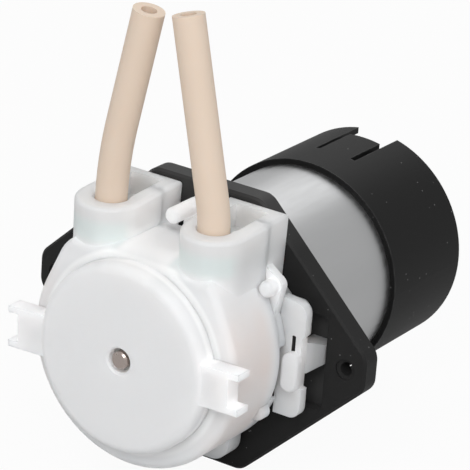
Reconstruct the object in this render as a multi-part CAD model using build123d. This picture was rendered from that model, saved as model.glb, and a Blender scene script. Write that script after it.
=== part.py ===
from build123d import *
from math import acos, atan2, cos, degrees, radians, sin, tan
import os

# A small clip-on peristaltic pump: a white tubing head on a black mounting plate, driven
# by a direct-current motor. The pump axis is the Y axis. Y = 0 is the plate's rear face,
# which lies on the panel; the head is in front of it (-Y) and the motor behind it (+Y).
# +Z is up, where the pump tube leaves the head. All lengths are in millimetres.

# ---- motor and shaft ----
MOTOR_R = 13.85
CAN_END_Y = 33.6
CAN_WALL = 0.9
SHAFT_R = 1.15
SHAFT_TIP_Y = -19.5
SEAT_DEPTH = 0.3          # the motor sits this deep in the plate's rear face
RUNNING = 0.05            # radial clearance of everything that turns
SCREW_PITCH = 16.0

# ---- mounting plate ----
PLATE_T = 2.7
PLATE_TOP_X = 8.0         # half length of the flat top and bottom edges
PLATE_TOP_Z = 18.5
PLATE_TIP_X = 24.85
PLATE_TIP_Z = 2.2
PLATE_ROUND = 2.4
HOLE_X = 22.0
HOLE_R = 1.35
RECESS_DEPTH = 1.6
RECESS_X = 19.1

# ---- pump tube ----
TUBE_R = 2.0
TUBE_BORE_R = 1.0
TUBE_Y = -12.15           # plane in which the tube is bent round
PORT_X = 7.63
PORT_TOP = 17.2           # height of the ports' rims at their front
TUBE_TOP_Z = (42.2, 43.0)         # free ends, left and right
TUBE_LEAN = (11.0, 13.2)          # degrees that each free end leans inwards
BEND_R = (50.0, 22.0)             # the left leg bends more gently
BEND_Z = (22.2, 18.6)             # height of each bend's corner

# ---- friction drive: shaft, three rollers and the track ----
TRACK_R = 13.45
SQUEEZED = 1.8            # thickness of the tube where it lies flat on the track
ROLLER_GAP = 0.05
ROLLER_REACH = TRACK_R - SQUEEZED - ROLLER_GAP
ROLLER_R = (ROLLER_REACH - SHAFT_R) / 2
ROLLER_ORBIT = SHAFT_R + ROLLER_R
ROLLER_LENGTH = 6.4
RACE_EXIT = 35.0          # degrees above horizontal where the tube leaves the track

# ---- casing ----
CASE_R = 15.05
CASE_TOP = 13.2           # flat top under the two tube ports
SHOULDER_X = 10.6         # half width of the flat top
FRONT_Y = -16.8           # front face of the casing
SEAM_Y = -6.8             # joint between front and rear shell
DECK_Y = -5.5             # back of the rear shell's deck
WALL = 1.3
OPENING_R = 11.1          # round window that the front cover closes
COLLAR_X, COLLAR_R = 7.9, 4.15
COLLAR_BACK = -2.9
COLLAR_SLOPE = 2.8        # degrees that the ports' rims rise towards the back
COVER_R = 12.3
COVER_Y = -19.6
COVER_TURN = -2.0         # degrees that the cover stands turned about the pump axis
SHAFT_HOLE_R = 1.6
SKIRT_R = 11.9
SPIGOT_T = 1.1
PEGS = [(13.2, 9.8), (13.2, -6.7)]
PEG_R = 1.05
PEG_TIP_Y = -8.6

# ---- latches ----
PIVOT_X, PIVOT_Z = 15.3, 6.4
LATCH_FRONT, LATCH_BACK = -5.4, -4.1
PAD_FRONT = -6.65
HOOK_FRONT, HOOK_BACK = -2.95, -1.15
HOOK_TIP_X = 19.6
PIN_R = 0.7

# ---- black sleeve on the motor ----
SLEEVE_R = 14.7
SLEEVE_Y = (21.1, 37.75)
TONGUE_X = (-2.5, 3.6)    # outer edges of the slots beside the top tongue
TONGUE_END_Y = 34.35
SLOT_END_Y = 26.9
SLOT_W = 0.7

SIDES = {"left": -1, "right": 1}


def along_y(sketch, y0, y1):
    """Solid from a sketch drawn in X and Z, from y0 back to y1."""
    return extrude(Plane.XZ.offset(-y1) * sketch, y1 - y0, dir=(0, -1, 0))


def rod(radius, y0, y1, x=0, z=0):
    return along_y(Pos(x, z) * Circle(radius), y0, y1)


def rod_x(radius, y, z, length):
    """Rod along X, centred on X = 0."""
    return Pos(0, y, z) * Rot(0, 90, 0) * Cylinder(radius, length)


def tube_ring(outer, inner, y0, y1, x=0, z=0):
    return along_y(Pos(x, z) * (Circle(outer) - Circle(inner)), y0, y1)


def block(x0, x1, y0, y1, z0, z1):
    size = (x1 - x0, y1 - y0, z1 - z0)
    return Pos((x0 + x1) / 2, (y0 + y1) / 2, (z0 + z1) / 2) * Box(*size)


def both_sides(shape):
    return shape + mirror(shape, about=Plane.YZ)


def polar(radius, angle):
    return radius * cos(radians(angle)), radius * sin(radians(angle))


def one_solid(shape):
    """The single solid of a union."""
    return max(shape.solids(), key=lambda s: s.volume)


# ---------------------------------------------------------------- pump tube and its route

def leg_direction(side):
    """Direction in which one free end points."""
    lean = radians(TUBE_LEAN[int(side == "right")])
    return Vector(-SIDES[side] * sin(lean), 0, cos(lean))


def leg_path(side):
    """Centre line of one leg: up through the port, a gentle bend, then straight."""
    s, i = SIDES[side], int(side == "right")
    up = leg_direction(side)
    start = Vector(s * PORT_X, TUBE_Y, 12.3)
    corner = Vector(s * PORT_X, TUBE_Y, BEND_Z[i])
    end = corner + up * ((TUBE_TOP_Z[i] - corner.Z) / up.Z)
    cut = BEND_R[i] * tan(radians(TUBE_LEAN[i]) / 2)
    into, out = corner - Vector(0, 0, cut), corner + up * cut
    bend = TangentArc(into, out, tangent=Vector(0, 0, 1))
    return Line(start, into) + bend + Line(out, end)


def flat_tube(half_thickness, half_width):
    """Cross-section of the squeezed tube: flat sides and round edges."""
    return SlotOverall(2 * half_width, 2 * half_thickness, rotation=90)


def race_shape(half_thickness, half_width):
    """The stretch round the track, from one exit angle down and round to the other."""
    section = Pos(TRACK_R - SQUEEZED / 2, TUBE_Y) * flat_tube(half_thickness, half_width)
    lap = revolve(Plane.XY * section, Axis.Y, 180 + 2 * RACE_EXIT)
    return lap.rotate(Axis.Y, -RACE_EXIT)


def exit_shape(side, half_thickness, half_width, radius, top=12.3):
    """Blend from the flat section on the track to the round section below the port."""
    s = SIDES[side]
    centre = TRACK_R - SQUEEZED / 2
    x, z = polar(centre, RACE_EXIT)
    out = (cos(radians(RACE_EXIT)) * s, 0, sin(radians(RACE_EXIT)))
    along = (-sin(radians(RACE_EXIT)) * s, 0, cos(radians(RACE_EXIT)))
    start = Plane(origin=(s * x, TUBE_Y, z), x_dir=out, z_dir=along)
    end = Plane(origin=(s * PORT_X, TUBE_Y, top), x_dir=(s, 0, 0), z_dir=(0, 0, 1))
    return loft([start * flat_tube(half_thickness, half_width), end * Circle(radius)])


def leg_shape(side, radius):
    section = Pos(SIDES[side] * PORT_X, TUBE_Y, 12.3) * Circle(radius)
    return sweep(section, path=leg_path(side))


def pump_tube():
    """Soft tube, pressed shut round the track and open from each port upwards."""
    half_t, half_w = SQUEEZED / 2, 2.55
    tube = race_shape(half_t, half_w)
    for side in SIDES:
        tube += exit_shape(side, half_t, half_w, TUBE_R) + leg_shape(side, TUBE_R)
    for side in SIDES:
        tube -= leg_shape(side, TUBE_BORE_R)
    return one_solid(tube)


def tube_passage(side):
    """Room that the casing leaves for one leg of the tube, with a funnel at the rim."""
    room = 0.06
    half_t, half_w = SQUEEZED / 2 + room, 2.55 + room
    x, rim_z = SIDES[side] * PORT_X, PORT_TOP + 0.1
    passage = exit_shape(side, half_t, half_w, TUBE_R + room)
    passage += Pos(x, TUBE_Y, 15) * Cylinder(TUBE_R + room, 6)
    return passage + Pos(x, TUBE_Y, rim_z) * Cone(TUBE_R + room, TUBE_R + 0.5, 0.6)


# ------------------------------------------------------------------------- tubing casing

def case_outline():
    """Round casing with a flat top, joined by tangents from the top's corners."""
    reach = (SHOULDER_X**2 + CASE_TOP**2) ** 0.5
    touch = degrees(atan2(CASE_TOP, SHOULDER_X)) - degrees(acos(CASE_R / reach))
    top = Polygon((0, 0), polar(CASE_R, touch), (SHOULDER_X, CASE_TOP), (0, CASE_TOP), align=None)
    top = fillet(top.vertices().sort_by_distance((SHOULDER_X, CASE_TOP, 0))[0], 5.0)
    return (Circle(CASE_R) & Pos(0, CASE_TOP / 2 - 10) * Rectangle(40, CASE_TOP + 20)) + both_sides(top)


def collar(side):
    """D-shaped tube port, from front to back of the head, a little wider at its rim."""
    x = SIDES[side] * COLLAR_X
    length = COLLAR_BACK - TUBE_Y
    plan = Pos(x, TUBE_Y) * Circle(COLLAR_R)
    plan += Pos(x, TUBE_Y + length / 2) * Rectangle(2 * COLLAR_R, length)
    solid = extrude(Plane.XY.offset(9.0) * plan, 10.0, taper=-1.0)
    rim_plane = Pos(x, TUBE_Y - COLLAR_R, PORT_TOP) * Rot(COLLAR_SLOPE, 0, 0)
    solid -= rim_plane * Pos(0, 0, 5) * Box(12, 60, 10)
    rim = solid.faces().sort_by(Axis.Z)[-1].edges()
    return fillet(rim, 0.5)


def collar_pocket(side):
    """Rectangular pocket in the port's top face, behind the tube."""
    x = SIDES[side] * COLLAR_X
    return block(x - 2.3, x + 2.3, TUBE_Y + 1.0, -4.3, PORT_TOP - 2.4, PORT_TOP + 2)


def clamp_seat(side):
    return Pos(SIDES[side] * PORT_X, TUBE_Y, 13.8) * Cylinder(3.1, 3.0)


def tube_clamp(side):
    """Split ring inside the port that grips the tube."""
    ring = clamp_seat(side) - Pos(SIDES[side] * PORT_X, TUBE_Y, 13.8) * Cylinder(TUBE_R, 3.2)
    x = SIDES[side] * PORT_X
    return one_solid(ring - block(x - 0.4, x + 0.4, TUBE_Y, TUBE_Y + 4, 12, 16))


def peg(x, z, tip_y, root_y=SEAM_Y):
    """Round peg pointing forwards, with a domed tip."""
    tip = rod(PEG_R, tip_y, tip_y + 1, x, z)
    return fillet(tip.edges().group_by(Axis.Y)[0], 0.55) + rod(PEG_R, tip_y + 0.9, root_y, x, z)


def front_shell():
    body = along_y(case_outline(), FRONT_Y, SEAM_Y)
    # the flat top rounds off towards the cover
    body -= block(-16, 16, FRONT_Y - 1, -12.6, 10.5, 16) - rod_x(7.0, -12.6, CASE_TOP - 7.0, 34)
    body = fillet(body.faces().sort_by(Axis.Y)[0].outer_wire().edges(), 1.0)
    for side in SIDES:
        body += collar(side) & block(-20, 20, -20, SEAM_Y, 8, 20)
    # the track, its flat roof between the ports, and the window at the front
    track = Circle(TRACK_R) & Pos(0, -4) * Rectangle(40, 32)
    body -= along_y(track, FRONT_Y + WALL, SEAM_Y)
    body -= rod(OPENING_R, FRONT_Y - 1, FRONT_Y + WALL + 1)
    for side in SIDES:
        body -= tube_passage(side) + clamp_seat(side) + collar_pocket(side)
    for x, z in PEGS:
        body -= rod(PEG_R + 0.15, PEG_TIP_Y - 0.2, SEAM_Y, x, z)
    return one_solid(body)


def deck_outline():
    """The casing's outline with ears that carry the upper pegs."""
    (x, z), ear_r = PEGS[0], PEG_R + 0.25
    ear = Polygon((8, 6), (SHOULDER_X, CASE_TOP), (x + 0.5, z + 1.2), (x + 1.2, z - 0.5), (13.77, 6.1),
                  align=None)
    return case_outline() + both_sides(ear + Pos(x, z) * Circle(ear_r))


def rear_shell():
    deck = along_y(deck_outline(), SEAM_Y, DECK_Y)
    # flat notches that the finger pads swing into
    deck -= both_sides(block(13.2, 16, SEAM_Y - 1, DECK_Y + 1, -5.2, 2.1))
    spigot = tube_ring(TRACK_R - 0.05, TRACK_R - SPIGOT_T, SEAM_Y - 1.1, SEAM_Y + 0.2)
    spigot &= block(-20, 20, -20, 0, -20, 6)
    skirt = tube_ring(SKIRT_R, SKIRT_R - 1.1, DECK_Y, -PLATE_T + RECESS_DEPTH)
    shell = deck + spigot + skirt
    for side in SIDES:
        shell += collar(side) & block(-20, 20, SEAM_Y, 0, 8, 20)
    # lugs behind the latches, outside the skirt, with the pivot pins
    lug = Polygon((9.4, 5.3), (9.4, 8.2), (11.8, 9.2), (13.0, 8.2), (13.7, 7.5), (15.3, 7.5),
                  (15.3, 5.3), align=None) + Pos(PIVOT_X, PIVOT_Z) * Circle(1.1)
    shell += both_sides(along_y(lug, LATCH_BACK + RUNNING, -PLATE_T - RUNNING))
    shell += both_sides(rod(PIN_R, LATCH_BACK - 0.8, LATCH_BACK + 0.2, PIVOT_X, PIVOT_Z))
    for x, z in PEGS:
        shell += peg(x, z, PEG_TIP_Y)
    # centre peg between the ports, on its post
    shell += block(-1.2, 1.2, DECK_Y, COLLAR_BACK, 12, 16.6) + peg(0, 16.2, -10.2, DECK_Y + 0.5)
    # foot below the casing
    foot = Pos(0, -13.1) * Rectangle(16.4, 6.2)
    foot = fillet(foot.vertices().group_by(Axis.Y)[0], 2.6)
    shell += along_y(foot, DECK_Y - 0.6, -3.4)
    # stiffening ribs between deck and plate
    for k in range(6):
        rib = block(5.6, SKIRT_R - 0.6, DECK_Y - 0.2, -3.2, -0.5, 0.5)
        shell += rib.rotate(Axis.Y, 30 + 60 * k)
    shell -= rod(1.6, SEAM_Y - 2, 0)
    for side in SIDES:
        shell -= collar_pocket(side)
    return one_solid(shell)


def cover_lug():
    """Channel-shaped lug beside the cover, open outwards."""
    y0, y1 = COVER_Y + 0.4, FRONT_Y - 0.05
    web = block(11.5, 15.7, y0, y1, -2.7, 2.7)
    fin = block(15.0, 17.2, y0, y1, 1.85, 2.7)
    return web + fin + mirror(fin, about=Plane.XY)


def front_cover():
    """Round cap over the rotor, with a spigot that locates it in the casing's window."""
    cap = rod(COVER_R, COVER_Y, FRONT_Y)
    cap = fillet(cap.edges().group_by(Axis.Y)[0], 1.2)
    cap += both_sides(cover_lug()) + rod(OPENING_R - 0.05, FRONT_Y, FRONT_Y + WALL - 0.1)
    cap -= rod(OPENING_R - 1.2, COVER_Y + WALL, FRONT_Y + WALL)
    countersink = rod(SHAFT_HOLE_R + 0.25, COVER_Y - 0.2, COVER_Y + 0.25)
    countersink = chamfer(countersink.edges().group_by(Axis.Y)[-1], 0.24)
    cap -= rod(SHAFT_HOLE_R, COVER_Y - 1, COVER_Y + WALL + 1) + countersink
    return one_solid(cap).rotate(Axis.Y, COVER_TURN)


# --------------------------------------------------------------------------------- latches

def latch(side):
    """Snap arm: pivot at the top, hook half-way down, finger pad at the free end."""
    arm = Polygon((13.8, 8.3), (17.55, 7.9), (17.55, 3.9), (17.15, 3.4), (17.15, -3.2),
                  (17.6, -3.3), (17.6, -7.35), (13.8, -7.35), align=None)
    corners = arm.vertices()

    def near(x, z):
        return corners.sort_by_distance((x, z, 0))[0]

    arm = fillet([near(17.55, 7.9), near(17.6, -7.35)], 1.5)
    arm -= Pos(15.98, 2.4) * RectangleRounded(0.6, 2.4, 0.2)
    solid = along_y(arm, LATCH_FRONT, LATCH_BACK)
    # the hook slopes back from the arm to the plate, on a gusset
    side_view = Polygon((16.2, 2.5), (19.0, 2.5), (19.0, -0.2), (17.2, -1.6), (16.2, -1.6),
                        align=None)
    top_view = Polygon((16.2, LATCH_BACK - 0.1), (17.0, LATCH_BACK + 0.1), (19.0, HOOK_FRONT),
                       (19.0, HOOK_BACK), (16.2, HOOK_BACK), align=None)
    hook = along_y(side_view, LATCH_BACK - 0.1, HOOK_BACK)
    solid += hook & extrude(Plane.XY.offset(-3) * top_view, 7)
    solid += block(18.9, HOOK_TIP_X, -1.85, HOOK_BACK, 0.0, 2.2)
    # raised finger pad
    pad = Pos(16.28, -1.0) * SlotOverall(5.2, 2.4, rotation=90)
    pad = along_y(pad, PAD_FRONT, LATCH_FRONT)
    solid += fillet(pad.edges().group_by(Axis.Y)[0], 0.4)
    solid -= rod(PIN_R + RUNNING, LATCH_BACK - 0.85, 0, PIVOT_X, PIVOT_Z)
    solid = one_solid(solid)
    return solid if side == "right" else mirror(solid, about=Plane.YZ)


# ---------------------------------------------------------------------------------- rotor

def rotor_plate(y0, y1):
    """One of the two round plates that hold the roller axles."""
    plate = rod(9.0, y0, y1)
    for k in range(3):
        plate -= rod(0.75, y0 - 1, y1 + 1, *polar(ROLLER_ORBIT, 90 + 120 * k))
    return plate


def rotor_front_plate():
    plate = rotor_plate(-17.0, -15.6) + rod(2.6, -18.2, -17.0)
    plate = chamfer(plate.edges().filter_by(GeomType.CIRCLE).group_by(Axis.Y)[0], 0.3)
    return one_solid(plate - rod(SHAFT_R + RUNNING, -19, -15))


def rotor_rear_plate():
    """Rear plate with the three spacer pillars that reach the front plate."""
    plate = rotor_plate(-8.7, -7.3) + rod(2.6, -7.3, SEAM_Y - 0.05)
    for k in range(3):
        plate += rod(1.2, -15.6, -8.7, *polar(7.4, 30 + 120 * k))
    return one_solid(plate - rod(SHAFT_R + RUNNING, -9, -6))


def roller(k):
    """Hollow-ended roller with eased edges."""
    x, z = polar(ROLLER_ORBIT, 90 + 120 * k)
    y0, y1 = TUBE_Y - ROLLER_LENGTH / 2, TUBE_Y + ROLLER_LENGTH / 2
    body = rod(ROLLER_R, y0, y1, x, z)
    body = chamfer(body.edges().filter_by(GeomType.CIRCLE), 0.35)
    for a, b in ((y0 - 1, y0 + 0.8), (y1 - 0.8, y1 + 1)):
        body -= tube_ring(ROLLER_R - 0.9, 1.9, a, b, x, z)
    return one_solid(body - rod(0.8, y0 - 1, y1 + 1, x, z))


def roller_axle(k):
    return rod(0.75, -16.8, -7.5, *polar(ROLLER_ORBIT, 90 + 120 * k))


# ---------------------------------------------------------------------- plate and motor

def plate_outline():
    tip_x, tip_z, top_x, top_z = PLATE_TIP_X, PLATE_TIP_Z, PLATE_TOP_X, PLATE_TOP_Z
    corners = [(top_x, top_z), (tip_x, tip_z), (tip_x, -tip_z), (top_x, -top_z),
               (-top_x, -top_z), (-tip_x, -tip_z), (-tip_x, tip_z), (-top_x, top_z)]
    outline = Polygon(*corners, align=None)
    return fillet(outline.vertices(), PLATE_ROUND)


def mounting_plate():
    plate = along_y(plate_outline(), -PLATE_T, 0)
    plate = chamfer(plate.faces().sort_by(Axis.Y)[0].outer_wire().edges(), 0.3)
    wings = Pos(0, -0.3) * RectangleRounded(2 * RECESS_X, 12.6, 0.8)
    recess = Circle(SKIRT_R + 0.15) + wings
    plate -= along_y(recess, -PLATE_T - 1, -PLATE_T + RECESS_DEPTH)
    # catches: a slot behind a lip at each end of the recess takes the latch's hook
    plate -= both_sides(block(18.5, 20.1, -1.9, -PLATE_T + RECESS_DEPTH, -0.8, 3.0))
    plate -= rod(5.05, -PLATE_T, 1) + rod(MOTOR_R + 0.15, -SEAT_DEPTH, 1)
    plate -= both_sides(rod(HOLE_R, -5, 1, HOLE_X))
    plate -= both_sides(rod(1.35, -5, 1, SCREW_PITCH / 2))
    return one_solid(plate)


def motor_screws():
    head = fillet(rod(2.1, -2.3, -1.1, SCREW_PITCH / 2).edges().group_by(Axis.Y)[0], 0.5)
    cross = block(6.8, 9.2, -3, -1.8, -0.2, 0.2) + block(7.8, 8.2, -3, -1.8, -1.2, 1.2)
    return both_sides(head + rod(1.25, -1.1, 3.0, SCREW_PITCH / 2) - cross)


def motor_can():
    """Drawn steel can with the locating boss that passes through the plate."""
    can = fillet(rod(MOTOR_R, -SEAT_DEPTH, CAN_END_Y).edges().group_by(Axis.Y)[0], 0.9)
    can -= rod(MOTOR_R - CAN_WALL, CAN_WALL - SEAT_DEPTH, CAN_END_Y + 1)
    can += rod(5.0, -1.05, 0.5)
    can -= rod(3.0, -2, 3)
    for k in range(2):
        can -= rod(1.25, -1, 2, *polar(SCREW_PITCH / 2, 180 * k))
        can -= rod(1.8, -1, 2, *polar(9.4, 90 + 180 * k))
    return one_solid(can)


def motor_magnets():
    """Two curved field magnets inside the can."""
    ring = Circle(MOTOR_R - CAN_WALL) - Circle(10.3)
    sides = Rectangle(40, 7.5)
    return along_y(ring - sides, 5.0, 29.0)


def motor_front_bush():
    return tube_ring(3.0, SHAFT_R + RUNNING, -1.0, 2.6)


def motor_rear_bush():
    return tube_ring(2.6, SHAFT_R + RUNNING, 33.6, 36.2)


def motor_end_bell():
    """Moulded rear cover that carries the brushes and terminals."""
    bell = rod(MOTOR_R - CAN_WALL, CAN_END_Y - 1.8, 35.4) + rod(4.4, 35.4, 36.6)
    bell = fillet(bell.edges().filter_by(GeomType.CIRCLE).group_by(Axis.Y)[-1], 0.6)
    bell -= rod(2.6, 33.6, 37)
    bell -= rod(4.0, 31, 33.6)
    bell -= both_sides(block(7.3, 7.8, 30, 37, -1.4, 1.4))
    for angle in (60, 120, 240, 300):
        bell -= rod(1.6, 30, 37, *polar(9.0, angle))
    return one_solid(bell)


def motor_terminals():
    """Brass tabs behind the end bell, each with its brush arm inside."""
    tab = block(7.3, 7.8, 29.2, 40.6, -1.4, 1.4) - Pos(7.5) * rod_x(0.7, 38.9, 0, 3)
    arm = block(4.9, 7.4, 29.2, 29.7, -1.4, 1.4)
    return both_sides(tab + arm)


def motor_brushes():
    return both_sides(block(3.3, 5.2, 29.7, 31.7, -1.1, 1.1))


def motor_shaft():
    shaft = rod(SHAFT_R, SHAFT_TIP_Y, 36.0)
    return chamfer(shaft.edges(), 0.2)


def armature():
    """Five-pole laminated core on the shaft."""
    core = Circle(9.9)
    for k in range(5):
        slot = Pos(*polar(9.6, 36 + 72 * k)) * Rot(0, 0, 36 + 72 * k) * Rectangle(2.6, 1.2)
        well = Pos(*polar(6.9, 36 + 72 * k)) * Rot(0, 0, 36 + 72 * k) * Ellipse(2.2, 2.6)
        core -= slot + well
    return one_solid(along_y(core - Circle(SHAFT_R), 8.0, 25.0))


def armature_windings():
    """Copper coil heads at both ends of the core, joined through the slots."""
    coils = tube_ring(8.6, 2.2, 5.8, 8.0) + tube_ring(8.6, 2.2, 25.0, 27.2)
    for k in range(5):
        bundle = Pos(*polar(6.9, 36 + 72 * k)) * Rot(0, 0, 36 + 72 * k) * Ellipse(1.6, 2.1)
        coils += along_y(bundle, 7.5, 25.5)
    return one_solid(coils)


def commutator():
    sleeve = tube_ring(3.2, SHAFT_R, 27.2, 32.4)
    for k in range(5):
        cut = Pos(*polar(3.1, 72 * k)) * Rot(0, 0, 72 * k) * Rectangle(0.6, 0.3)
        sleeve -= along_y(cut, 28.0, 33.0)
    return one_solid(sleeve)


def motor_sleeve():
    """Black band over the motor's rear end, held by two spring tongues."""
    front, back = SLEEVE_Y
    band = tube_ring(SLEEVE_R, MOTOR_R, front, back)
    left, right = TONGUE_X
    for turn in (0, 180):
        band -= block(left, right, TONGUE_END_Y, back + 1, 10, 16).rotate(Axis.Y, turn)
        for x in (left, right - SLOT_W):
            band -= block(x, x + SLOT_W, SLOT_END_Y, back, 10, 16).rotate(Axis.Y, turn)
        lip = tube_ring(MOTOR_R + 0.1, MOTOR_R - 0.85, CAN_END_Y, TONGUE_END_Y)
        lip &= block(left + SLOT_W, right - SLOT_W, 30, 36, 8, 16)
        band += lip.rotate(Axis.Y, turn)
    return one_solid(band)


NODES = {
    "mounting_plate": mounting_plate,
    "motor_can": motor_can,
    "motor_magnets": motor_magnets,
    "motor_front_bush": motor_front_bush,
    "motor_rear_bush": motor_rear_bush,
    "motor_end_bell": motor_end_bell,
    "motor_terminals": motor_terminals,
    "motor_brushes": motor_brushes,
    "motor_screws": motor_screws,
    "motor_sleeve": motor_sleeve,
    "motor_shaft": motor_shaft,
    "armature": armature,
    "armature_windings": armature_windings,
    "commutator": commutator,
    "front_shell": front_shell,
    "rear_shell": rear_shell,
    "front_cover": front_cover,
    "pump_tube": pump_tube,
    "rotor_front_plate": rotor_front_plate,
    "rotor_rear_plate": rotor_rear_plate,
}

os.makedirs("parts", exist_ok=True)
for name, make in NODES.items():
    export_step(make(), f"parts/{name}.step")
for side in SIDES:
    export_step(latch(side), f"parts/latch_{side}.step")
    export_step(tube_clamp(side), f"parts/tube_clamp_{side}.step")
for number in range(3):
    export_step(roller(number), f"parts/roller_{number + 1}.step")
    export_step(roller_axle(number), f"parts/roller_axle_{number + 1}.step")
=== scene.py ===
# %% [markdown]
# A small peristaltic pump. A white head squeezes a soft tube with three rollers, and a motor
# behind the black plate turns them. The engineering model already holds every part at its real
# size, so this lesson only dresses it: camera and light first, then one finish after another,
# then the fine threads that the solids leave out. Lengths are in metres.

# %% Load the frame
from math import cos, radians, sin

import bmesh
import bpy
from mathutils import Matrix, Vector


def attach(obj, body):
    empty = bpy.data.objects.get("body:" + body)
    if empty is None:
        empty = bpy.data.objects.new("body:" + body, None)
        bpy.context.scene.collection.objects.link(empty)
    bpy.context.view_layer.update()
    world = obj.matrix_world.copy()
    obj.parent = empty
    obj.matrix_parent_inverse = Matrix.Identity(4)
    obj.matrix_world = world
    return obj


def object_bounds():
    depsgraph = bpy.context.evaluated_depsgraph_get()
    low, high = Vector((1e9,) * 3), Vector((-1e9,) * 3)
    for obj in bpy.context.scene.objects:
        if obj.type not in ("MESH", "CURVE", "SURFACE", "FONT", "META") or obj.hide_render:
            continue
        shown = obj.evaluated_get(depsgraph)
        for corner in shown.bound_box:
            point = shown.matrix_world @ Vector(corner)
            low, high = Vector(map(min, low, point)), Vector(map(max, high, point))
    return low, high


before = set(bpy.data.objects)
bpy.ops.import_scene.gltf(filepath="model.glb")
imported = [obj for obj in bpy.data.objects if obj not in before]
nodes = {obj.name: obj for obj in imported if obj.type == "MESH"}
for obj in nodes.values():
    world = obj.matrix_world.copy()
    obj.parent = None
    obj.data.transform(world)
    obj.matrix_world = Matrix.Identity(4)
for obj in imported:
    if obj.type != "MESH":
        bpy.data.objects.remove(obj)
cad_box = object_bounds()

MM = 0.001
scene = bpy.context.scene
print("parts in the frame:", len(nodes))

# %% [markdown]
# Product pictures of small parts are taken from far away with a long lens, so that the
# parallel edges stay nearly parallel. The camera looks down on the pump from its front right.
# Three directions build it: back from the target to the lens, then sideways, then up. Turning
# the last two about the line of sight gives the slight roll that the view has. A camera could
# be dragged into place by hand as well, but numbers give the same view each time.

# %% Camera
AZIMUTH, ELEVATION, ROLL = radians(32.32), radians(22.03), radians(4.3)
TARGET = Vector((2.74, 0.35, 11.41)) * MM
DISTANCE = 374.16 * MM
LENS = 229.79                   # focal length and sensor width in millimetres
SENSOR_WIDTH = 36.0

back = Vector((sin(AZIMUTH) * cos(ELEVATION), -cos(AZIMUTH) * cos(ELEVATION), sin(ELEVATION)))
level = Vector((0, 0, 1)).cross(back).normalized()
upright = back.cross(level)
right = level * cos(ROLL) + upright * sin(ROLL)
up = upright * cos(ROLL) - level * sin(ROLL)

camera = bpy.data.objects.new("camera", bpy.data.cameras.new("camera"))
camera.data.lens = LENS
camera.data.sensor_width = SENSOR_WIDTH
camera.data.clip_start = 10 * MM
camera.matrix_world = Matrix((right, up, back)).transposed().to_4x4()
camera.location = TARGET + back * DISTANCE
scene.collection.objects.link(camera)
scene.camera = camera
print("camera distance in mm:", round((camera.location - TARGET).length / MM, 2))

# %% [markdown]
# A material is a tree of shader nodes. One helper places a node, sets its properties and fills
# its sockets, either with a plain value or with a link to another node's output. Every finish
# below is written with it, so a finish reads as the list of what it is made of.

# %% Helpers: nodes, groups and materials
def add_node(tree, kind, inputs=None, **settings):
    """A shader node with its properties and sockets set; a socket value makes a link."""
    node = tree.nodes.new("ShaderNode" + kind)
    for key, value in settings.items():
        setattr(node, key, value)
    for name, value in (inputs or {}).items():
        if isinstance(value, bpy.types.NodeSocket):
            tree.links.new(value, node.inputs[name])
        else:
            node.inputs[name].default_value = value
    return node


def new_group(name, inputs, outputs):
    """A node group with number inputs and their values, and outputs with their socket types."""
    group = bpy.data.node_groups.new(name, "ShaderNodeTree")
    for label, value in inputs.items():
        socket = group.interface.new_socket(label, in_out="INPUT", socket_type="NodeSocketFloat")
        socket.default_value = value
    for label, kind in outputs.items():
        group.interface.new_socket(label, in_out="OUTPUT", socket_type="NodeSocket" + kind)
    start = group.nodes.new("NodeGroupInput")
    end = group.nodes.new("NodeGroupOutput")
    return group, start.outputs, end.inputs


def place_group(tree, group, inputs=None):
    """A group in a material, with its own values."""
    return add_node(tree, "Group", inputs, node_tree=group).outputs


def new_material(name):
    """A fresh material, with its tree and its Principled shader."""
    material = bpy.data.materials.new(name)
    material.use_nodes = True
    tree = material.node_tree
    return material, tree, tree.nodes["Principled BSDF"]


def set_sockets(shader, **values):
    """Plain values on a shader's sockets; underscores in a name stand for spaces."""
    for name, value in values.items():
        shader.inputs[name.replace("_", " ")].default_value = value


print("node helpers ready")

# %% [markdown]
# Most finishes need the same few sums: a product of masks, a ramp between two values, a soft
# band round a place, a colour that gives way to another where a mask says so, and a bump that
# turns a height into relief. Each is a node or two under a plain name. Places on the pump are
# given in millimetres along its own axes, so a tint stays where it belongs when the pump moves.

# %% Helpers: masks, tints and relief
def maths(tree, operation, *values):
    """The result of one Math node."""
    return add_node(tree, "Math", dict(enumerate(values)), operation=operation).outputs[0]


def product(tree, first, *others):
    """Masks or numbers multiplied together."""
    for other in others:
        first = maths(tree, "MULTIPLY", first, other)
    return first


def ramp(tree, value, start, end, low=0.0, high=1.0, curve="LINEAR"):
    """low up to start, high from end on, and a slope between them."""
    node = add_node(tree, "MapRange", {"Value": value, "From Min": start, "From Max": end,
                                       "To Min": low, "To Max": high},
                    interpolation_type=curve)
    return node.outputs[0]


def slope(tree, position, start, end, low=0.0, high=1.0):
    """A ramp along one axis, with start and end in millimetres."""
    return ramp(tree, position, start * MM, end * MM, low, high)


def soft_band(tree, position, middle, half_width, soft):
    """1 within half_width of the middle, falling to 0 over soft, all in millimetres."""
    away = maths(tree, "ABSOLUTE", maths(tree, "SUBTRACT", position, middle * MM))
    return ramp(tree, away, half_width * MM, (half_width + soft) * MM, 1.0, 0.0, "SMOOTHSTEP")


def tint(tree, mask, plain, tinted):
    """A colour that goes from plain to tinted as mask goes from 0 to 1."""
    # On a Mix of colours, sockets 6 and 7 are the two colours and output 2 is the result.
    mix = add_node(tree, "Mix", {0: mask, 6: plain, 7: tinted}, data_type="RGBA")
    return mix.outputs[2]


def relief(tree, shader, height, strength, depth=0.02 * MM):
    """A height as fine relief on the shader's surface."""
    bump = add_node(tree, "Bump", {"Height": height, "Distance": depth, "Strength": strength})
    tree.links.new(bump.outputs[0], shader.inputs["Normal"])


def object_place(tree):
    """The place on the pump, as a vector in metres."""
    return add_node(tree, "TexCoord").outputs["Object"]


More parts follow.
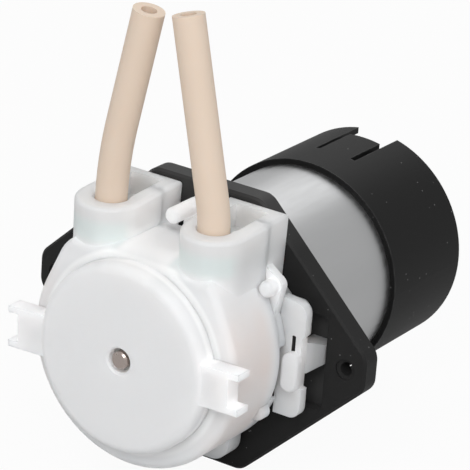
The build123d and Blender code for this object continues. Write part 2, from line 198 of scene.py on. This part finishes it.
def object_axes(tree):
    """The place on the pump along X, Y and Z."""
    return add_node(tree, "SeparateXYZ", {0: object_place(tree)}).outputs


print("mask helpers ready")

# %% [markdown]
# The pump stands on a pale table before a white backdrop. The table is a real surface that
# takes a soft shadow. For rays that come straight from the camera, most of its brightness is
# its own, so it reads as clean paper without any extra light falling on the pump. Rays by way
# of gloss see it dimmer, as the underside of a small object on paper does in its own shadow. A
# shadow catcher would need a second step to lay it over white, and this needs none.

# %% Table
PAPER = (0.60, 0.60, 0.60, 1)
OWN_LIGHT_SEEN = 0.95           # share of the table's own light, seen straight
OWN_LIGHT_MIRRORED = 0.15       # and seen by way of gloss or glass
TABLE_HALF = 3.0
TABLE_DROP = 0.1 * MM           # the table lies this far under the pump's lowest point


def paper_material():
    material, tree, shader = new_material("table_paper")
    set_sockets(shader, Base_Color=PAPER, Roughness=0.9)
    glow = add_node(tree, "Emission", {"Color": (1, 1, 1, 1), "Strength": 1.0})
    rays = add_node(tree, "LightPath").outputs
    mirrored = maths(tree, "MAXIMUM", rays["Is Glossy Ray"], rays["Is Transmission Ray"])
    share = maths(tree, "MAXIMUM", product(tree, mirrored, OWN_LIGHT_MIRRORED),
                  product(tree, rays["Is Camera Ray"], OWN_LIGHT_SEEN))
    mix = add_node(tree, "MixShader", {0: share, 1: shader.outputs[0], 2: glow.outputs[0]})
    tree.links.new(mix.outputs[0], tree.nodes["Material Output"].inputs["Surface"])
    return material


table_mesh = bpy.data.meshes.new("table")
table = bpy.data.objects.new("table", table_mesh)
sheet = bmesh.new()
bmesh.ops.create_grid(sheet, x_segments=1, y_segments=1, size=TABLE_HALF)
bmesh.ops.translate(sheet, verts=sheet.verts, vec=(0, 0, cad_box[0][2] - TABLE_DROP))
sheet.to_mesh(table_mesh)
sheet.free()
table_mesh.materials.append(paper_material())
scene.collection.objects.link(table)
print("table at z in mm:", round(table_mesh.vertices[0].co.z / MM, 2))

# %% [markdown]
# Light comes from large soft sources, as in a light tent. The world fills every shadow, and
# only the camera sees it as a pure white backdrop. The key lamp hangs close above the front, so
# that its light falls off down the white cover. A weak lamp from the right keeps the side of
# the head open, and one behind puts a sheen on the top of the motor. A picture of a studio
# could light the pump too, but single lamps can be moved and dimmed one at a time.

# %% Light
FILL_STRENGTH = 0.62
LAMPS = [                       # name, place, side length, power
    ("key_lamp", (0.10, -0.26, 0.24), 0.16, 0.46),
    ("side_lamp", (0.75, -0.25, 0.35), 0.5, 0.7),
    ("back_lamp", (-0.25, 0.75, 0.65), 0.6, 1.0),
]

world = bpy.data.worlds.new("light_tent")
scene.world = world
world.use_nodes = True
tent = world.node_tree
fill = tent.nodes["Background"]
set_sockets(fill, Color=(1, 1, 1, 1), Strength=FILL_STRENGTH)
backdrop = add_node(tent, "Background", {"Color": (1, 1, 1, 1), "Strength": 1.0})
tent_rays = add_node(tent, "LightPath")
tent_mix = add_node(tent, "MixShader", {0: tent_rays.outputs["Is Camera Ray"], 1: fill.outputs[0],
                                        2: backdrop.outputs[0]})
tent.links.new(tent_mix.outputs[0], tent.nodes["World Output"].inputs["Surface"])


def soft_lamp(name, place, size, power):
    """A square lamp aimed at the pump."""
    lamp = bpy.data.lights.new(name, "AREA")
    lamp.size = size
    lamp.energy = power
    lamp_object = bpy.data.objects.new(name, lamp)
    lamp_object.location = place
    lamp_object.rotation_euler = (Vector(place) - TARGET).to_track_quat("Z", "Y").to_euler()
    scene.collection.objects.link(lamp_object)
    return lamp_object


lamps = [soft_lamp(*values) for values in LAMPS]
scene.view_settings.view_transform = "Standard"
print("lamps:", [lamp.name for lamp in lamps])

# %% [markdown]
# A moulded surface is never perfectly even. It has a fine grain from the mould's polish and a
# slow waviness where thick plastic has shrunk. Both are noise, at two scales, added as a height
# for a Bump node. The slow one also goes out as a mask, so a colour can drift with it. An image
# of real plastic would need unwrapped parts and would repeat. Noise in space does neither, and
# as a group it serves every moulding with values of its own.

# %% Shared effect: moulded skin
WAVES_PER_METRE = 180.0


def moulded_skin_group():
    group, given, out = new_group(
        "moulded_skin", {"Grain Size": 0.25, "Grain": 0.5, "Waviness": 0.5},
        {"Height": "Float", "Drift": "Float"})
    place = object_place(group)
    # Grain Size is in millimetres, and the noise wants its scale per metre.
    grains_per_metre = maths(group, "DIVIDE", 1 / MM, given["Grain Size"])
    fine = add_node(group, "TexNoise", {"Vector": place, "Scale": grains_per_metre,
                                        "Detail": 2.0, "Roughness": 0.6}).outputs["Fac"]
    slow = add_node(group, "TexNoise", {"Vector": place, "Scale": WAVES_PER_METRE,
                                        "Detail": 1.0}).outputs["Fac"]
    height = maths(group, "ADD", product(group, fine, given["Grain"]),
                   product(group, slow, given["Waviness"]))
    group.links.new(height, out["Height"])
    group.links.new(slow, out["Drift"])
    return group


moulded_skin = moulded_skin_group()
print("effect:", moulded_skin.name)

# %% [markdown]
# Used plastic and metal catch light on their edges, where handling has polished them. The group
# paints their edges lighter, which is partly that wear and partly a painted highlight. The Bevel
# node gives the normal that a rounded edge would have. Where it differs from the true normal,
# there is an edge. The group turns that difference into a mask and breaks it up with noise.
# Edges could be painted by hand instead, but this finds them on every part by itself.

# %% Shared effect: edge rub and painted edge highlight
PATCHES_PER_METRE = 900.0
FLAT_ENOUGH, FULL_EDGE = 0.98, 0.75     # cosines between the two normals


def edge_rub_and_sheen_group():
    group, given, out = new_group("edge_rub_and_sheen", {"Width": 0.25, "Patchy": 0.5}, {"Mask": "Float"})
    width = product(group, given["Width"], MM)
    rounded = add_node(group, "Bevel", {"Radius": width}, samples=4)
    true = add_node(group, "NewGeometry").outputs["True Normal"]
    same = add_node(group, "VectorMath", {0: rounded.outputs[0], 1: true},
                    operation="DOT_PRODUCT").outputs["Value"]
    edge = ramp(group, same, FLAT_ENOUGH, FULL_EDGE)
    noise = add_node(group, "TexNoise", {"Vector": object_place(group),
                                         "Scale": PATCHES_PER_METRE, "Detail": 3.0})
    gaps = ramp(group, noise.outputs["Fac"], 0.4, 0.62)
    # On a Mix of numbers, sockets 2 and 3 are the two numbers.
    kept = add_node(group, "Mix", {0: given["Patchy"], 2: 1.0, 3: gaps}, data_type="FLOAT")
    group.links.new(product(group, edge, kept.outputs[0]), out["Mask"])
    return group


edge_rub_and_sheen = edge_rub_and_sheen_group()
print("effect:", edge_rub_and_sheen.name)

# %% [markdown]
# The head is a white plastic such as natural polypropylene: a little cool, and milky, so light
# goes in, scatters and comes out some millimetres away. What lies behind the wall changes its
# tone: the beige tube warms the rim of the case, and the blue-green clamps tint the two ports.
# The rest is painted light and shade. Painted shade greys the wall near the black plate, most
# of all below the ports, and darkens the latches' hooks at the plate's recess. The groove round
# the cover is painted paler, as painted light that stands for light reaching it through both
# walls, and so is the roof between the ports, where the collars and tubes shade it. The raised
# ports, which face the lamps, are painted a shade greyer, as painted shade, so that they don't
# burn out. Each of these is a mask: a soft band, or a slope, in the pump's own coordinates. The
# tones could be painted on the meshes' vertices, but large flat faces have too few of them.

# %% What shows in the milky wall, and its painted light and shade
# A band is its middle, half width and soft edge, and a slope is its start and end, in mm.
TUBE_RIM_Y, TUBE_RIM_Z, TUBE_RIM_X = (-12.4, 2.6, 3.0), (-2.0, 7.0, 6.0), (9.0, 12.5)
ROOF_Z, BETWEEN_PORTS_X = (10.0, 14.0), (0.0, 3.0, 1.5)
PORTS_X, PORTS_Y, CLAMPS_Z = (7.9, 3.6, 0.8), (-12.15, 4.0, 4.0), (14.0, 0.5, 1.7)
# The next two bands place the painted shade near the plate and the painted shade on the hooks.
PLATE_SHADE_Y, PLATE_SHADE_Z = (-8.0, -1.8), (7.0, 11.0)
HOOK_X, HOOK_Y = (16.5, 18.0), (-4.6, -3.0)
GROOVE_R, GROOVE_Y = (12.5, 0.5, 0.6), (-16.9, 0.7, 0.7)
SLOT_X, SLOT_Y, SLOT_Z = (15.98, 0.31, 0.02), (-4.1, 1.1, 0.1), (2.4, 1.21, 0.02)
PLATE_SHADE_SHARE_ABOVE = 0.35        # how much of the painted shade near the plate is left above the ports' foot
CLAMP_SHARE = 0.55


def wall_masks(tree, drift):
    """Where the wall changes its tone: what lies behind it, and painted light and shade."""
    x, y, z = object_axes(tree)
    aside = maths(tree, "ABSOLUTE", x)
    radius = maths(tree, "SQRT", maths(tree, "ADD", product(tree, x, x), product(tree, z, z)))
    roof = slope(tree, z, *ROOF_Z)
    # Painted shade darkens the roof, the wall near the plate, the hooks and the slots; painted
    # light brightens the groove and the roof between the ports. The tube and clamp bands are what
    # lies behind the wall.
    return {
        "roof": roof,
        "tube": product(tree, soft_band(tree, y, *TUBE_RIM_Y), soft_band(tree, z, *TUBE_RIM_Z),
                        slope(tree, aside, *TUBE_RIM_X), drift),
        "plate": product(tree, slope(tree, y, *PLATE_SHADE_Y),
                         slope(tree, z, *PLATE_SHADE_Z, 1.0, PLATE_SHADE_SHARE_ABOVE)),
        "hook_shade": product(tree, slope(tree, aside, *HOOK_X), slope(tree, y, *HOOK_Y)),
        "groove_light": product(tree, soft_band(tree, radius, *GROOVE_R),
                          soft_band(tree, y, *GROOVE_Y)),
        "light between ports": product(tree, soft_band(tree, x, *BETWEEN_PORTS_X), roof),
        "clamp": product(tree, soft_band(tree, z, *CLAMPS_Z), soft_band(tree, aside, *PORTS_X),
                         soft_band(tree, y, *PORTS_Y), CLAMP_SHARE),
        "slot_shade": product(tree, soft_band(tree, aside, *SLOT_X), soft_band(tree, z, *SLOT_Z),
                        soft_band(tree, y, *SLOT_Y)),
    }


print("bands of the milky wall set")

# %% [markdown]
# The finish itself starts from one milky white and lays the tints and the painted light and
# shade over it, each where its mask says. Subsurface scattering gives the depth. Its quick
# diffusion method doesn't draw a dark line where two shells of the case meet, as the more exact
# random walk does. The slot in each latch is so narrow that no light comes out of it, so its
# inner walls are painted nearly black, as painted shade.

# %% Finish: milky plastic
MILKY_WHITE = (0.85, 0.855, 0.865, 1)
WALL_TINTS = [
    # painted shade: the top and the raised ports greyer, since they face the lamps
    ("roof", (0.74, 0.745, 0.75, 1)),
    ("tube", (0.85, 0.74, 0.695, 1)),
    # painted shade: greyer near the black plate, most of all below the ports
    ("plate", (0.46, 0.465, 0.47, 1)),
    # painted shade on the latches' hooks at the plate's recess
    ("hook_shade", (0.30, 0.30, 0.305, 1)),
    # painted light: the groove round the cover paler than the wall
    ("groove_light", (0.99, 0.99, 0.99, 1)),
    # painted light: the roof between the ports paler, where collars and tubes shade it
    ("light between ports", (0.95, 0.95, 0.955, 1)),
    ("clamp", (0.70, 0.81, 0.80, 1)),
    # painted shade: nearly black inside the latches' narrow slots
    ("slot_shade", (0.02, 0.02, 0.02, 1)),
]


def milky_plastic():
    material, tree, shader = new_material("milky_plastic")
    shader.subsurface_method = "BURLEY"
    set_sockets(shader, Roughness=0.4, Subsurface_Weight=0.9, Subsurface_Scale=3.5 * MM,
                Subsurface_Radius=(1.0, 0.9, 0.85), Specular_IOR_Level=0.4, IOR=1.49)
    skin = place_group(tree, moulded_skin, {"Grain Size": 0.35, "Grain": 0.25, "Waviness": 1.0})
    masks = wall_masks(tree, skin["Drift"])
    colour = MILKY_WHITE
    for place, tinted in WALL_TINTS:
        colour = tint(tree, masks[place], colour, tinted)
    tree.links.new(colour, shader.inputs["Base Color"])
    relief(tree, shader, skin["Height"], 0.6)
    return material


head_plastic = milky_plastic()
print("finish:", head_plastic.name)

# %% [markdown]
# The plate and the motor's band are black plastic with a fine matt texture. It is a dark grey
# rather than a black. The edges are painted a little lighter, partly as rubbing and partly as a
# painted highlight. The plate's upper part and the floor of its recess are painted lighter as
# well, as painted light where they catch more light, and small specks of dust lie everywhere. A
# Voronoi texture scatters the specks: a small distance from a cell's middle is a dot. Real grains
# could be modelled, but at this size they would only be dots too.

# %% Finish: black plastic
BLACK, RUBBED_AND_SHEEN_BLACK = (0.007, 0.007, 0.007, 1), (0.07, 0.07, 0.07, 1)
# The paler grey is painted light, for the plate's upper part and the floor of its recess.
PLATE_GREY, LIT_GREY = (0.016, 0.016, 0.016, 1), (0.05, 0.05, 0.05, 1)
DUST_GREY = (0.22, 0.22, 0.22, 1)
PLATE_Y, PLATE_TOP_Z, LIT_TOP_SHARE = (-1.4, 2.0, 1.0), (13.0, 17.5), 0.8
RECESS_X, RECESS_Y, RECESS_Z = (0.0, 19.0, 0.5), (-1.25, 1.3, 0.1), (0.0, 6.5, 0.3)
SPECKS_PER_METRE, SPECK_SHARE = 560.0, 0.8


def dust_specks(tree):
    """Small round dots, scattered."""
    cells = add_node(tree, "TexVoronoi", {"Vector": object_place(tree),
                                          "Scale": SPECKS_PER_METRE, "Randomness": 1.0})
    return ramp(tree, cells.outputs["Distance"], 0.035, 0.06, 1.0, 0.0)


def black_plastic():
    material, tree, shader = new_material("matt_black")
    set_sockets(shader, Roughness=0.5, Specular_IOR_Level=0.16)
    skin = place_group(tree, moulded_skin, {"Grain Size": 0.12, "Grain": 1.0, "Waviness": 0.4})
    rub_and_sheen = place_group(tree, edge_rub_and_sheen, {"Width": 0.3, "Patchy": 0.7})
    x, y, z = object_axes(tree)
    plate = soft_band(tree, y, *PLATE_Y)
    # painted light: the plate's upper part and the floor of its recess lighter
    lit_plate_top = product(tree, slope(tree, z, *PLATE_TOP_Z, 0.0, LIT_TOP_SHARE), plate)
    lit_recess = product(tree, soft_band(tree, z, *RECESS_Z), soft_band(tree, y, *RECESS_Y),
                     soft_band(tree, x, *RECESS_X))
    # edges lighter: partly rubbed, partly a painted highlight
    colour = tint(tree, rub_and_sheen["Mask"], BLACK, RUBBED_AND_SHEEN_BLACK)
    colour = tint(tree, plate, colour, PLATE_GREY)
    colour = tint(tree, lit_plate_top, colour, LIT_GREY)
    colour = tint(tree, lit_recess, colour, LIT_GREY)
    colour = tint(tree, product(tree, dust_specks(tree), SPECK_SHARE), colour, DUST_GREY)
    tree.links.new(colour, shader.inputs["Base Color"])
    relief(tree, shader, skin["Height"], 0.8)
    return material


plate_plastic = black_plastic()
print("finish:", plate_plastic.name)

# %% [markdown]
# The pump tube is an opaque beige elastomer with a dull, almost velvety skin. It is soft enough
# to scatter a little light under the surface. A plain matt colour would look like clay, so a
# small share of subsurface scattering goes with it, and a slow drift between two beiges keeps
# the long legs from looking painted.

# %% Finish: tube elastomer
BEIGE, DARKER_BEIGE = (0.80, 0.66, 0.54, 1), (0.76, 0.62, 0.50, 1)


def tube_elastomer():
    material, tree, shader = new_material("tube_elastomer")
    set_sockets(shader, Roughness=0.6, Subsurface_Weight=0.15, Subsurface_Scale=0.8 * MM,
                Subsurface_Radius=(1.0, 0.7, 0.5), Specular_IOR_Level=0.35)
    skin = place_group(tree, moulded_skin, {"Grain Size": 0.2, "Grain": 0.5, "Waviness": 0.6})
    colour = tint(tree, skin["Drift"], BEIGE, DARKER_BEIGE)
    tree.links.new(colour, shader.inputs["Base Color"])
    relief(tree, shader, skin["Height"], 0.5)
    return material


tube_rubber = tube_elastomer()
print("finish:", tube_rubber.name)

# %% [markdown]
# Metal parts differ in colour, in gloss and in the direction of the marks that made them. One
# function takes those as values. The marks are noise stretched along one axis: turned and
# ground parts have rings round the shaft, and rolled sheet has streaks along it. The shader's
# anisotropy could draw such streaks from a tangent, but stretched noise suits any shape.

# %% Finish: metals
def metal(name, colour, roughness, marks, streak=0.15, relief_strength=0.6):
    """Bare metal; marks is the scale of the noise along X, Y and Z, streak how dark it goes."""
    material, tree, shader = new_material(name)
    set_sockets(shader, Metallic=1.0)
    stretch = add_node(tree, "Mapping", {"Vector": object_place(tree), "Scale": marks})
    lines = add_node(tree, "TexNoise", {"Vector": stretch.outputs[0], "Scale": 1.0,
                                        "Detail": 4.0, "Roughness": 0.65}).outputs["Fac"]
    rub_and_sheen = place_group(tree, edge_rub_and_sheen, {"Width": 0.15, "Patchy": 0.3})
    dark = tuple(c * (1 - streak) for c in colour) + (1,)
    bright = tuple(min(1.0, c * 1.12) for c in colour) + (1,)
    tone = tint(tree, lines, dark, colour + (1,))
    # edges lighter: wear, and partly a painted highlight
    tone = tint(tree, rub_and_sheen["Mask"], tone, bright)
    tree.links.new(tone, shader.inputs["Base Color"])
    gloss = ramp(tree, lines, 0.3, 0.7, roughness * 0.85, roughness * 1.15)
    tree.links.new(gloss, shader.inputs["Roughness"])
    relief(tree, shader, lines, relief_strength, 0.01 * MM)
    return material


can_steel = metal("can_steel", (0.58, 0.585, 0.59), 0.40, (1500, 120, 1500), 0.10, 0.25)
shaft_steel = metal("shaft_steel", (0.57, 0.49, 0.45), 0.26, (300, 6000, 300), 0.3, 0.5)
screw_steel = metal("screw_steel", (0.66, 0.66, 0.68), 0.3, (2000, 2000, 2000), 0.15, 0.4)
core_steel = metal("core_steel", (0.33, 0.33, 0.34), 0.5, (100, 2800, 100), 0.5, 1.0)
copper = metal("copper", (0.72, 0.34, 0.20), 0.35, (900, 5000, 900), 0.3, 0.8)
brass = metal("brass", (0.80, 0.66, 0.36), 0.3, (3000, 200, 3000), 0.1, 0.3)
bronze = metal("bronze", (0.60, 0.42, 0.26), 0.55, (2500, 2500, 2500), 0.3, 0.8)
print("metals made")

# %% [markdown]
# The rest of the plastics, the carbon and the ferrite share one plain recipe: a colour that
# drifts slightly, a grain and a roughness. Only the values differ. Most of these parts are
# closed in and show only when the pump is taken apart, so they need no finish of their own.

# %% Finish: plain mouldings
def plain_moulding(name, colour, roughness, grain_size, grain, shade=0.88):
    """An even, opaque moulding; shade is how dark its colour drifts."""
    material, tree, shader = new_material(name)
    set_sockets(shader, Roughness=roughness, Specular_IOR_Level=0.4)
    skin = place_group(tree, moulded_skin, {"Grain Size": grain_size, "Grain": grain,
                                            "Waviness": 0.5})
    darker = tuple(c * shade for c in colour) + (1,)
    tone = tint(tree, skin["Drift"], colour + (1,), darker)
    tree.links.new(tone, shader.inputs["Base Color"])
    relief(tree, shader, skin["Height"], 0.7)
    return material


clamp_plastic = plain_moulding("clamp_plastic", (0.36, 0.60, 0.56), 0.45, 0.3, 0.4)
rotor_plastic = plain_moulding("rotor_plastic", (0.82, 0.82, 0.80), 0.4, 0.3, 0.4)
roller_plastic = plain_moulding("roller_plastic", (0.78, 0.75, 0.69), 0.35, 0.2, 0.4)
bell_plastic = plain_moulding("bell_plastic", (0.028, 0.028, 0.030), 0.5, 0.15, 1.0, 0.7)
carbon = plain_moulding("carbon", (0.05, 0.05, 0.05), 0.6, 0.1, 1.0, 0.7)
ferrite = plain_moulding("ferrite", (0.09, 0.09, 0.10), 0.7, 0.15, 1.0, 0.7)
print("mouldings made")

# %% [markdown]
# Each solid of the frame now takes its finish. The parts could be dressed one by one, but a
# table from finish to parts shows at a glance what is made of what, and the check at the end
# prints any part that was forgotten.

# %% Dress the frame
FINISHES = [
    (head_plastic, ["front_shell", "rear_shell", "front_cover", "latch_left", "latch_right"]),
    (plate_plastic, ["mounting_plate", "motor_sleeve"]),
    (tube_rubber, ["pump_tube"]),
    (clamp_plastic, ["tube_clamp_left", "tube_clamp_right"]),
    (can_steel, ["motor_can"]),
    (shaft_steel, ["motor_shaft", "roller_axle_1", "roller_axle_2", "roller_axle_3"]),
    (screw_steel, ["motor_screws"]),
    (core_steel, ["armature"]),
    (copper, ["armature_windings", "commutator"]),
    (brass, ["motor_terminals"]),
    (bronze, ["motor_front_bush", "motor_rear_bush"]),
    (rotor_plastic, ["rotor_front_plate", "rotor_rear_plate"]),
    (roller_plastic, ["roller_1", "roller_2", "roller_3"]),
    (bell_plastic, ["motor_end_bell"]),
    (carbon, ["motor_brushes"]),
    (ferrite, ["motor_magnets"]),
]
dressed = set()
for material, names in FINISHES:
    for name in names:
        nodes[name].data.materials.clear()
        nodes[name].data.materials.append(material)
        dressed.add(name)
print("parts without a finish:", sorted(set(nodes) - dressed))

# %% [markdown]
# The plate's two holes are tapped for small screws. A thread is one V-shaped ridge that climbs
# as it turns, so a small triangle is spun round the hole's axis with a rise per turn. The solids
# leave it out, because a screw only needs the plain bore there. The ridge's foot sits a hair
# inside the wall, so that no gap shows along it. A Screw modifier would draw the same ridge. The
# spin operator was chosen because it leaves a finished mesh with nothing more to apply.

# %% Piece: threads in the plate's holes
HOLE_X = 22.0 * MM
HOLE_R = 1.35 * MM
PLATE_FRONT_Y = -2.7 * MM
THREAD_DEPTH = 0.5 * MM
THREAD_PITCH = 0.4 * MM
THREAD_LEAD = 0.03 * MM         # the ridge starts this far in front of the plate's face
FOOT_DEPTH = 0.02 * MM
START_ANGLE = radians(45)       # where round the hole the ridge starts
TURNS = 6
STEPS_PER_TURN = 32


def thread_piece(name, x):
    """A helical ridge that stands inwards from the hole's wall."""
    ridge = bmesh.new()
    start_y = PLATE_FRONT_Y - THREAD_LEAD
    foot, crest = HOLE_R + FOOT_DEPTH, HOLE_R - THREAD_DEPTH
    profile = [(foot, start_y), (crest, start_y + THREAD_PITCH * 0.4),
               (foot, start_y + THREAD_PITCH * 0.8)]
    corners = [ridge.verts.new((x + radius * cos(START_ANGLE), y, radius * sin(START_ANGLE)))
               for radius, y in profile]
    triangle = ridge.faces.new(corners)
    bmesh.ops.spin(ridge, geom=[triangle] + list(triangle.edges) + corners, cent=(x, 0, 0),
                   axis=(0, 1, 0), dvec=(0, THREAD_PITCH / STEPS_PER_TURN, 0),
                   angle=radians(360) * TURNS, steps=TURNS * STEPS_PER_TURN,
                   use_duplicate=False)
    bmesh.ops.remove_doubles(ridge, verts=ridge.verts, dist=0.0005 * MM)
    bmesh.ops.recalc_face_normals(ridge, faces=ridge.faces)
    mesh = bpy.data.meshes.new(name)
    ridge.to_mesh(mesh)
    ridge.free()
    mesh.materials.append(plate_plastic)
    piece = bpy.data.objects.new(name, mesh)
    scene.collection.objects.link(piece)
    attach(piece, "root")
    return piece


threads = [thread_piece("thread_left", -HOLE_X), thread_piece("thread_right", HOLE_X)]
print("faces in a thread:", len(threads[0].data.polygons))
